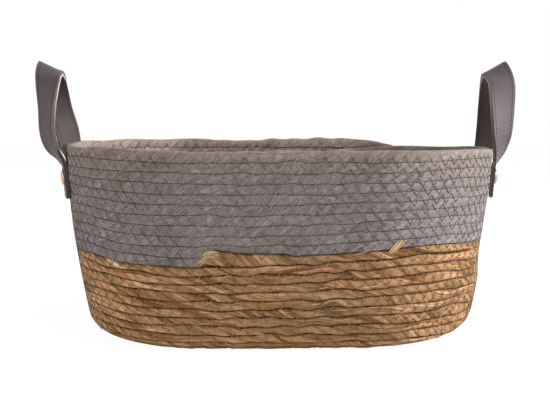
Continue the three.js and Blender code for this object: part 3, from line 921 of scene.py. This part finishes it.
def frayed(count, seed):
    """The tip of the natural rope, fanned out over the start of the grey one."""
    chance = np.random.default_rng(seed)
    height = np.linspace(0.06, 0.94, count)
    behind = chance.uniform(1, 20, count)
    reach = np.minimum(chance.uniform(6, 16, count), behind + chance.uniform(0, 5, count))
    slant = (height - 0.3) * 0.3 + chance.normal(0, 0.12, count)
    places = np.interp(thread_length(SPLICE_PLACE) - behind, seam_lengths, seam_places)
    lift = chance.uniform(-0.2, 0.7, count)
    paths = splinter_paths(places, height, reach, slant, lift, FRAYED_SEAT)
    return *paths, chance.uniform(0.18, 0.5, count), chance.choice([0.3, 0.5, 0.6, 0.8, 1], count)


CAUGHT = [  # place, height, reach, slant, lift, width and tint: a scrap across a seam, and a wisp at the left
    (45.978, 0.5, -11.0, 1.05, 0.5, 1.2, 0.7),
    (45.9755, 0.42, -12.0, 0.98, 0.7, 0.8, 0.6),
    (45.98, 0.62, -8.5, 1.15, 0.9, 0.6, 0.9),
    (44.745, 0.9, 5.0, 0.1, 4.5, 0.25, 0.5),
    (44.74, 0.75, -7.0, -0.2, 3.0, 0.2, 0.4),
]


def caught():
    """Bits of leaf that the sewing has caught."""
    places, height, reach, slant, lift, width, tint = np.array(CAUGHT).T
    return *splinter_paths(places, height, reach, slant, lift, CAUGHT_SEAT), width, tint


# %% Splinters
SPLINTER_DEPTH = 0.6


def splinter_piece(name, groups):
    bpy.ops.object.select_all(action="DESELECT")
    bpy.ops.mesh.primitive_uv_sphere_add(segments=4, ring_count=RINGS, radius=1)
    shape, faces = taken_apart(bpy.context.object)
    ring = np.rint(np.arccos(np.clip(-shape[:, 2], -1, 1)) / np.pi * RINGS).astype(int)
    points, tints = [], []
    for line, out, width, tint in groups:
        aside = unit(np.cross(np.gradient(line, axis=1), out))
        wide = aside[:, ring] * (shape[:, 0] * width[:, None])[..., None]
        deep = out[:, ring] * (shape[:, 1] * SPLINTER_DEPTH * width[:, None])[..., None]
        points.append(line[:, ring] + wide + deep)
        tints.append(tint)
    points, tints = np.concatenate(points), np.concatenate(tints)
    points[..., 2] = np.maximum(points[..., 2], 0.05)
    piece = joined_copies(name, points, faces)
    corners = np.array([loop.vertex_index for loop in piece.data.loops])
    tint = np.stack([tints[corners // len(shape)], ring[corners % len(shape)] / RINGS], -1)
    piece.data.uv_layers.new(name="tint").data.foreach_set("uv", tint.ravel())
    return piece


splinters = splinter_piece("rush_splinters", [scattered(420, 21), frayed(34, 22), caught()])


# %% Splinter finish
def splinter_finish():
    finish = Finish("rush_splinter")
    tint, along = finish.pair("tint")
    root = colour(120, 86, 52)
    tone = finish.ramp(tint, [(0.0, root), (0.5, colour(186, 146, 98)), (1.0, colour(232, 204, 158))])
    tip = finish.smooth(along, 0.75, 1.0) * 0.4
    finish.set(Base_Color=finish.mixed(tone, root, tip), Roughness=0.7)
    return finish.material


splinters.data.materials.append(splinter_finish())
print("splinter finish", splinters.data.materials[0].name)

# %% [markdown]
# ## The straps
# A handle is a strap of two layers. Its ends are held flat on the wall by rivets, and between them it
# twists and arches over the rim, so no single modifier bends it right. Its line goes through a few
# stations, each with a turn of the strap's face. A centripetal curve through them gives no loops or
# overshoots, and it is the one that the solids use.
# %% Rivet frames
def rivet_frame(side, leg):
    """Where an end of a strap is riveted: place, out of the wall, up along it, and across the strap."""
    out = np.array([side * math.cos(RIVET_ANGLE), leg * math.sin(RIVET_ANGLE), 0.0])
    up = np.array([0.0, 0.0, 1.0])
    outward = out * math.sin(RIVET_STEEP) - up * math.cos(RIVET_STEEP)
    along = out * math.cos(RIVET_STEEP) + up * math.sin(RIVET_STEEP)
    middle = np.array([side * HALF_CORE, 0.0, RIVET_HEIGHT]) + out * RIVET_OUT * math.cos(FACET_ANGLE)
    return middle + outward * GREY_THICKNESS / 2, outward, along, np.cross(along, outward)


def hermite(start, end, leave, arrive, w):
    """A smooth step from start to end that leaves and arrives at these rates."""
    bend = (3 * (end - start) - 2 * leave - arrive) * w**2
    return start + leave * w + bend + (2 * (start - end) + leave + arrive) * w**3


def curve_point(points, share):
    """A centripetal curve through points, at a share of its spans."""
    spans = len(points) - 1
    first = min(int(share * spans), spans - 1)
    b, c = points[first], points[first + 1]
    a = points[first - 1] if first > 0 else 2 * points[0] - points[1]
    d = points[first + 2] if first + 2 <= spans else 2 * points[-1] - points[-2]
    gaps = [np.sum((q - p) ** 2) ** 0.25 for p, q in ((a, b), (b, c), (c, d))]
    gaps[1] = gaps[1] if gaps[1] > 1e-4 else 1.0
    gaps = [gap if gap > 1e-4 else gaps[1] for gap in gaps]
    leave = ((b - a) / gaps[0] - (c - a) / (gaps[0] + gaps[1]) + (c - b) / gaps[1]) * gaps[1]
    arrive = ((c - b) / gaps[1] - (d - b) / (gaps[1] + gaps[2]) + (d - c) / gaps[2]) * gaps[1]
    return hermite(b, c, leave, arrive, share * spans - first)


LOOP_REACH, LOOP_RISE, LOOP_STEPS = 17.0, 100.0, 4
LOOP_STATIONS = {  # outward, height, spread and turn: from the front rivets over the top, then from the back
    "left": (
        [(0.22, 0.16, 1.02, 17), (0.62, 0.26, 1.03, 27), (0.94, 0.4, 0.95, 36),
         (0.97, 0.65, 0.85, 44), (0.97, 0.885, 0.56, 69), (1.0, 1, 0, 115)],
        [(0.2, 0.16, 1.03, 18), (0.33, 0.265, 1.07, 41), (0.47, 0.4, 1.05, 45),
         (0.865, 0.625, 0.9, 56), (1.07, 0.87, 0.56, 84)],
    ),
    "right": (
        [(0.17, 0.16, 1.02, 22), (0.35, 0.26, 1.02, 37), (0.45, 0.38, 1, 52),
         (0.57, 0.63, 0.78, 68), (0.65, 0.87, 0.42, 86), (0.51, 1, -0.2, 119)],
        [(0.2, 0.16, 1.03, 18), (0.5, 0.265, 1.08, 38), (0.66, 0.405, 1.06, 55),
         (0.71, 0.63, 0.93, 69), (0.67, 0.87, 0.64, 92)],
    ),
}
STRAP_MIDDLE = SEAT_GAP + STRAP_LAYER + LAYER_GAP / 2
print("rivet frame, right front", rivet_frame(1, -1)[0].round(1))


# %% Strap line
def strap_line(name, side):
    """Rows of (middle, across, face) from the front tail end, over the loop, to the back tail end."""
    places, turns = [], []
    for leg, stations in zip((-1, 1), LOOP_STATIONS[name]):
        place, outward, along, _ = rivet_frame(side, leg)
        held = place + outward * STRAP_MIDDLE
        points, angles = [held, held + along * (TAB_LENGTH + BEND_GAP)], [math.degrees(RIVET_ANGLE)] * 2
        for reach, height, spread, turn in stations:
            x, y = held[0] + side * LOOP_REACH * reach, leg * spread * STRAP_SPACING / 2
            points.append(np.array([x, y, held[2] + height * LOOP_RISE]))
            angles.append(turn)
        places += points if leg < 0 else points[::-1]
        turns += angles if leg < 0 else angles[::-1]
    turns = [np.array([math.radians(turn)]) for turn in turns]
    spans, outside = len(places) - 1, np.array([float(side), 0.0, 0.0])
    rows = []
    for i in range((spans - 2) * LOOP_STEPS + 1):
        share = (1 + i / LOOP_STEPS) / spans
        middle = curve_point(places, share)
        ahead = unit(curve_point(places, share + 1e-4) - curve_point(places, share - 1e-4))
        face = Vector(unit(outside - ahead * ahead[0] * side))
        face.rotate(Matrix.Rotation(-side * curve_point(turns, share)[0], 3, Vector(ahead)))
        face = np.array(face)
        rows.append((middle, np.cross(ahead, face), face))
    for leg, row in ((-1, 0), (1, -1)):
        _, outward, _, across = rivet_frame(side, leg)
        rows[row] = (rows[row][0], across * -leg, outward)
    return np.array(rows)


def smooth_rows(rows, finer):
    """More rows between the given ones, on a smooth curve."""
    last = len(rows) - 1
    out = []
    for i in range(last):
        leave = (rows[i + 1] - rows[max(i - 1, 0)]) / 2
        arrive = (rows[min(i + 2, last)] - rows[i]) / 2
        out += [hermite(rows[i], rows[i + 1], leave, arrive, k / finer) for k in range(finer)]
    out = np.array(out + [rows[-1]])
    out[:, 1:] = unit(out[:, 1:])
    return out


TAIL_CORNER, FLAT_STEP = 3.0, 2.5


def whole_strap(name, side):
    """The loop's rows with the two flat ends before and after."""
    loop = smooth_rows(strap_line(name, side), 3)
    flats = []
    for leg in (-1, 1):
        place, outward, along, across = rivet_frame(side, leg)
        rounded = TAIL_CORNER * (1 - np.cos(np.linspace(0, np.pi / 2, 6)))
        straight = np.arange(2 * FLAT_STEP - TAIL_LENGTH, TAB_LENGTH, FLAT_STEP)
        rises = np.concatenate([rounded - TAIL_LENGTH, straight])
        held = place + outward * STRAP_MIDDLE
        flats.append(np.array([(held + along * rise, across * -leg, outward) for rise in rises]))
    return np.concatenate([flats[0], loop, flats[1][::-1]])


strap_rows = {name: whole_strap(name, side) for name, side in (("left", -1), ("right", 1))}
print("strap rows", {name: len(rows) for name, rows in strap_rows.items()})

# %% [markdown]
# ## Strap layers
# A layer starts as a grid, 12 faces wide, laid along the strap's line. Solidify gives it its thickness,
# with its own material on the cut edge, and Bevel rounds the edge. The corners of the tails are rounded
# by narrowing the last rows of the grid.
# %% Strap layers
STRAP_COLUMNS, EDGE_ROUND = 13, 0.35


def strap_layer(name, rows, inner, outer):
    """A layer of strap whose faces are this far from the strap's middle surface."""
    middles, across, face = rows[:, 0], rows[:, 1], rows[:, 2]
    length = lengths_along(middles)
    from_end = np.minimum(length, length[-1] - length)
    missing = np.clip(TAIL_CORNER - from_end, 0, TAIL_CORNER)
    narrow = TAIL_CORNER - np.sqrt(np.clip(TAIL_CORNER**2 - missing**2, 0, None))
    half = STRAP_WIDTH / 2 - narrow
    shares = np.linspace(-1, 1, STRAP_COLUMNS)
    layer, i, j, corners = new_grid(name, len(rows), STRAP_COLUMNS)
    mesh = layer.data
    points = middles[i] + across[i] * (shares[j] * half[i])[:, None] + face[i] * (inner + outer) / 2
    mesh.vertices.foreach_set("co", (points * MM).ravel())
    mesh.uv_layers[0].name = "strap"
    mesh.uv_layers[0].data.foreach_set("uv", np.stack([length[i] * MM, shares[j]], -1)[corners].ravel())
    mesh.update()
    for _ in range(2):
        mesh.materials.append(None)
    solidify = layer.modifiers.new("thickness", "SOLIDIFY")
    solidify.thickness, solidify.offset, solidify.material_offset_rim = (outer - inner) * MM, 0, 1
    bevel = layer.modifiers.new("edge", "BEVEL")
    bevel.width, bevel.segments = EDGE_ROUND * MM, 2
    bevel.limit_method, bevel.angle_limit = "ANGLE", math.radians(50)
    for modifier in ("thickness", "edge"):
        bpy.ops.object.modifier_apply(modifier=modifier)
    face_outwards()
    bpy.ops.object.shade_smooth_by_angle(angle=math.radians(40))
    print(name, "strap length", round(length[-1], 1), "mm, faces", len(mesh.polygons))
    return layer


straps, linings = {}, {}
LAYER_FACES = (LAYER_GAP / 2, LAYER_GAP / 2 + STRAP_LAYER)
for side_name, rows in strap_rows.items():
    near, far = LAYER_FACES
    straps[side_name] = strap_layer(side_name + "_strap", rows, near, far)
    linings[side_name] = strap_layer(side_name + "_lining", rows, -far, -near)

# %% [markdown]
# ## Strap stitches
# Two rows of lockstitch hold the layers together, 3 mm inside each edge. One stitch is a small sphere,
# drawn out along the strap and flattened. It is copied to each place with a matrix of its own, which has to
# be a turn and not a mirror, or the copies would be inside out. The copies are one piece, because that is
# lighter than hundreds of pieces.
# %% Stitches
STRAP_STITCH_PITCH, STITCH_INSET, STITCH_FROM_END, STITCH_SINK = 3.9, 3.0, 3.2, 0.04


def one_stitch():
    """The points and faces of a stitch along X, on the plane Z = 0."""
    bpy.ops.object.select_all(action="DESELECT")
    bpy.ops.mesh.primitive_uv_sphere_add(segments=8, ring_count=5, radius=1)
    bpy.ops.object.mode_set(mode="EDIT")
    bpy.ops.mesh.select_all(action="SELECT")
    bpy.ops.transform.rotate(value=math.pi / 2, orient_axis="Y", center_override=(0, 0, 0))
    bpy.ops.transform.resize(value=(1.45, 0.5, 0.4), center_override=(0, 0, 0))
    bpy.ops.object.mode_set(mode="OBJECT")
    return taken_apart(bpy.context.object)


def strap_stitches(name, rows, level):
    """Stitches on one face of a handle. level is that face's distance from the strap's middle surface."""
    length = lengths_along(rows[:, 0])
    copies = []
    for edge in (-1, 1):
        for at in np.arange(STITCH_FROM_END, length[-1] - STITCH_FROM_END, STRAP_STITCH_PITCH):
            middle, across, face = (
                np.array([np.interp(at, length, rows[:, k, axis]) for axis in range(3)]) for k in range(3))
            base = middle + across * edge * (STRAP_WIDTH / 2 - STITCH_INSET) + face * level
            turned = np.stack([unit(np.cross(across, face)), unit(across), unit(face)])
            copies.append(base + stitch_points @ turned)
    return joined_copies(name, np.array(copies), stitch_faces)


stitch_points, stitch_faces = one_stitch()
stitches = {}
for side_name, rows in strap_rows.items():
    for kind, sign in (("strap", 1), ("lining", -1)):
        name = f"{side_name}_{kind}_stitches"
        stitches[name] = strap_stitches(name, rows, sign * (LAYER_FACES[1] - STITCH_SINK))

# %% [markdown]
# ## Strap finish
# The straps are smooth faux leather: an even colour with a slight mottle, a fine pebble grain that only
# shows in the highlight, and a pull along the stitch rows, painted darker as shade. The edges are paler,
# partly from wear and partly as a painted highlight. The lining's cut edge shows the pale backing, with
# painted light over the top of the loop and painted shade lower down, and the outer strap's edge is painted
# like its face.
# %% Strap finish
def strap_finish(name, low, high, grain):
    finish = Finish(name)
    at, _ = finish.place()
    _, across = finish.pair("strap")
    mottle = finish.noise(at, 55.0, 3.0, 0.55)
    pebble = finish.node("ShaderNodeTexVoronoi", {"feature": "F1"}, {"Vector": at, "Scale": 1500.0})
    pores = finish.noise(at, 2600.0)
    stitch_row = 1 - 2 * STITCH_INSET / STRAP_WIDTH
    row = 1 - finish.smooth((across.size() - stitch_row).size(), 0.0, 0.07)
    # The edges are paler: partly wear, partly a painted highlight.
    edge_wear_and_highlight = finish.smooth(across.size(), 0.93, 1.0)
    worn_and_highlit = finish.mixed(finish.mixed(low, high, mottle), high, edge_wear_and_highlight * 0.5)
    # The stitch rows are painted darker, as shade in their groove.
    finish.set(
        Base_Color=finish.mixed(worn_and_highlit, low, row * 0.5),
        Roughness=mottle * 0.16 + pebble * 0.12 + 0.46,
        Specular_IOR_Level=0.3, Sheen_Weight=0.3, Sheen_Roughness=0.3,
    )
    finish.bump(pebble * -0.05 * grain + pores * 0.02 * grain - row * 0.16, 0.8)
    return finish.material


def edge_finish():
    """The lining's cut edge: dull and slightly fibrous, pale, with painted light over the top of the loop and
    painted shade lower down.
    """
    finish = Finish("strap_cut_edge")
    at, (_, _, height) = finish.place()
    fuzz = finish.noise(at, 900.0, 3.0, 0.6)
    # Painted light and shade: the pale backing shows over the top of the loop, and the edge is painted darker
    # lower down.
    pale = finish.mixed(colour(182, 162, 148), colour(230, 212, 198), fuzz)
    dull = finish.mixed(colour(78, 68, 64), colour(112, 100, 94), fuzz)
    finish.set(Base_Color=finish.mixed(dull, pale, finish.smooth(height, 0.178, 0.242)), Roughness=0.85)
    finish.bump(fuzz * 0.12, 0.6)
    return finish.material


def stitch_finish():
    finish = Finish("strap_thread")
    at, _ = finish.place()
    wear = finish.noise(at, 300.0)
    finish.set(Base_Color=finish.mixed(colour(26, 21, 22), colour(44, 37, 38), wear), Roughness=0.6)
    return finish.material


strap_material = strap_finish("grey_faux_leather", colour(66, 57, 57), colour(88, 78, 79), 1.0)
lining_material = strap_finish("dark_lining_leather", colour(64, 55, 53), colour(80, 70, 68), 1.3)
edge_material, strap_thread = edge_finish(), stitch_finish()
for layers, face_material, rim_material in (
    (straps, strap_material, strap_material), (linings, lining_material, edge_material),
):
    for layer in layers.values():
        layer.data.materials[0], layer.data.materials[1] = face_material, rim_material
for made in stitches.values():
    made.data.materials.append(strap_thread)
print("strap finishes", strap_material.name, lining_material.name)

# %% [markdown]
# ## Rivets
# Each rivet has a domed copper cap over the strap. It is a short cylinder whose top is inset and raised in
# steps until it is a dome, with a bevel on its brim. One cap is modelled, and then copied to the four
# places with a mesh of its own. The posts and their flat backs inside are right as they are in the solids.
# %% Rivet caps
CAP_SIDES, DOME_STEPS, LAST_ANGLE, BRIM_ROUND = 48, 9, math.radians(87), 0.15


def rivet_cap():
    bpy.ops.object.select_all(action="DESELECT")
    bpy.ops.mesh.primitive_cylinder_add(
        vertices=CAP_SIDES, radius=RIVET_RADIUS * MM, depth=RIVET_BRIM * MM,
        location=(0, 0, RIVET_BRIM / 2 * MM),
    )
    cap = bpy.context.object
    bpy.ops.object.transform_apply(location=True, rotation=True, scale=True)
    bpy.ops.object.mode_set(mode="EDIT")
    bpy.ops.mesh.select_mode(type="FACE")
    bpy.ops.mesh.select_all(action="DESELECT")
    bpy.ops.object.mode_set(mode="OBJECT")
    top = max(cap.data.polygons, key=lambda polygon: polygon.center.z)
    top.select = True
    bpy.ops.object.mode_set(mode="EDIT")
    rise = RIVET_RISE - RIVET_BRIM
    angles = [math.pi / 2 * (k / DOME_STEPS) for k in range(DOME_STEPS)] + [LAST_ANGLE]
    for low, high in zip(angles, angles[1:]):
        inward = RIVET_RADIUS * (math.cos(low) - math.cos(high))
        upward = rise * (math.sin(high) - math.sin(low))
        bpy.ops.mesh.inset(thickness=max(inward, 0.02) * MM, depth=upward * MM)
    bpy.ops.mesh.select_all(action="DESELECT")
    bpy.ops.object.mode_set(mode="OBJECT")
    bevel = cap.modifiers.new("brim", "BEVEL")
    bevel.width, bevel.segments = BRIM_ROUND * MM, 2
    bevel.limit_method, bevel.angle_limit = "ANGLE", math.radians(60)
    bpy.ops.object.modifier_apply(modifier="brim")
    bpy.ops.object.shade_smooth()
    return cap


first_cap = rivet_cap()
STRAP_STACK = 2 * STRAP_LAYER + LAYER_GAP + 2 * SEAT_GAP
caps = {}
for side_name, side in (("left", -1), ("right", 1)):
    for leg_name, leg in (("front", -1), ("back", 1)):
        place, outward, along, _ = rivet_frame(side, leg)
        cap = first_cap.copy()
        cap.data = first_cap.data.copy()
        cap.name = cap.data.name = f"{side_name}_{leg_name}_rivet_dome"
        bpy.context.scene.collection.objects.link(cap)
        turned = Matrix(np.stack([np.cross(along, outward), along, outward], 1).tolist()).to_4x4()
        turned.translation = Vector((place + outward * STRAP_STACK) * MM)
        cap.data.transform(turned)
        caps[(side_name, leg_name)] = cap
bpy.data.objects.remove(first_cap)
print("rivet caps", len(caps))


# %% Copper
def copper_finish():
    """Copper plate: warm, slightly uneven, and duller and darker in spots."""
    finish = Finish("copper_plate")
    at, _ = finish.place()
    cloud = finish.noise(at, 240.0, 3.0, 0.6)
    drawn_out = finish.node("ShaderNodeMapping", None, {0: at, 3: (900.0, 240.0, 240.0)})
    scratch = finish.noise(drawn_out, 6.0, roughness=0.6)
    tarnish = finish.smooth(cloud, 0.52, 0.75)
    finish.set(
        Base_Color=finish.mixed(colour(198, 154, 128), colour(124, 90, 68), tarnish),
        Roughness=cloud * 0.2 + scratch * 0.14 + 0.26,
        Metallic=1.0,
    )
    finish.bump(scratch * 0.03 + cloud * 0.05, 0.5)
    return finish.material


copper = copper_finish()
for cap in caps.values():
    cap.data.materials.append(copper)
for name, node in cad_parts.items():
    if name.endswith("rivet_post"):
        node.material_slots[0].material = copper
print("copper on", len(caps), "caps and their posts")

# %% [markdown]
# ## What moves with what
# The ropes, their thread, the splinters and the rivet caps ride on the basket. The straps, their linings and
# their stitches keep their place in their own meshes. Each piece hides the solids that it stands for.
# %% Riding and replacing
for piece, node, slot in ((natural, "natural_rope", "natural_rope"), (grey, "grey_rope", "grey_rope")):
    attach(piece, "basket")
    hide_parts(node)
for made in (*threads.values(), splinters):
    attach(made, "basket")
for (side_name, leg_name), cap in caps.items():
    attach(cap, "basket")
    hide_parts(f"{side_name}_{leg_name}_rivet_cap")
for side_name in strap_rows:
    moving = [straps[side_name], linings[side_name],
              stitches[side_name + "_strap_stitches"], stitches[side_name + "_lining_stitches"]]
    for piece in moving:
        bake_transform(piece)
    for piece, kind in ((straps[side_name], "strap"), (linings[side_name], "lining")):
        tabs = (f"{side_name}_{leg}_{kind}_tab" for leg in ("front", "back"))
        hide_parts(f"{side_name}_{kind}_loop", *tabs)
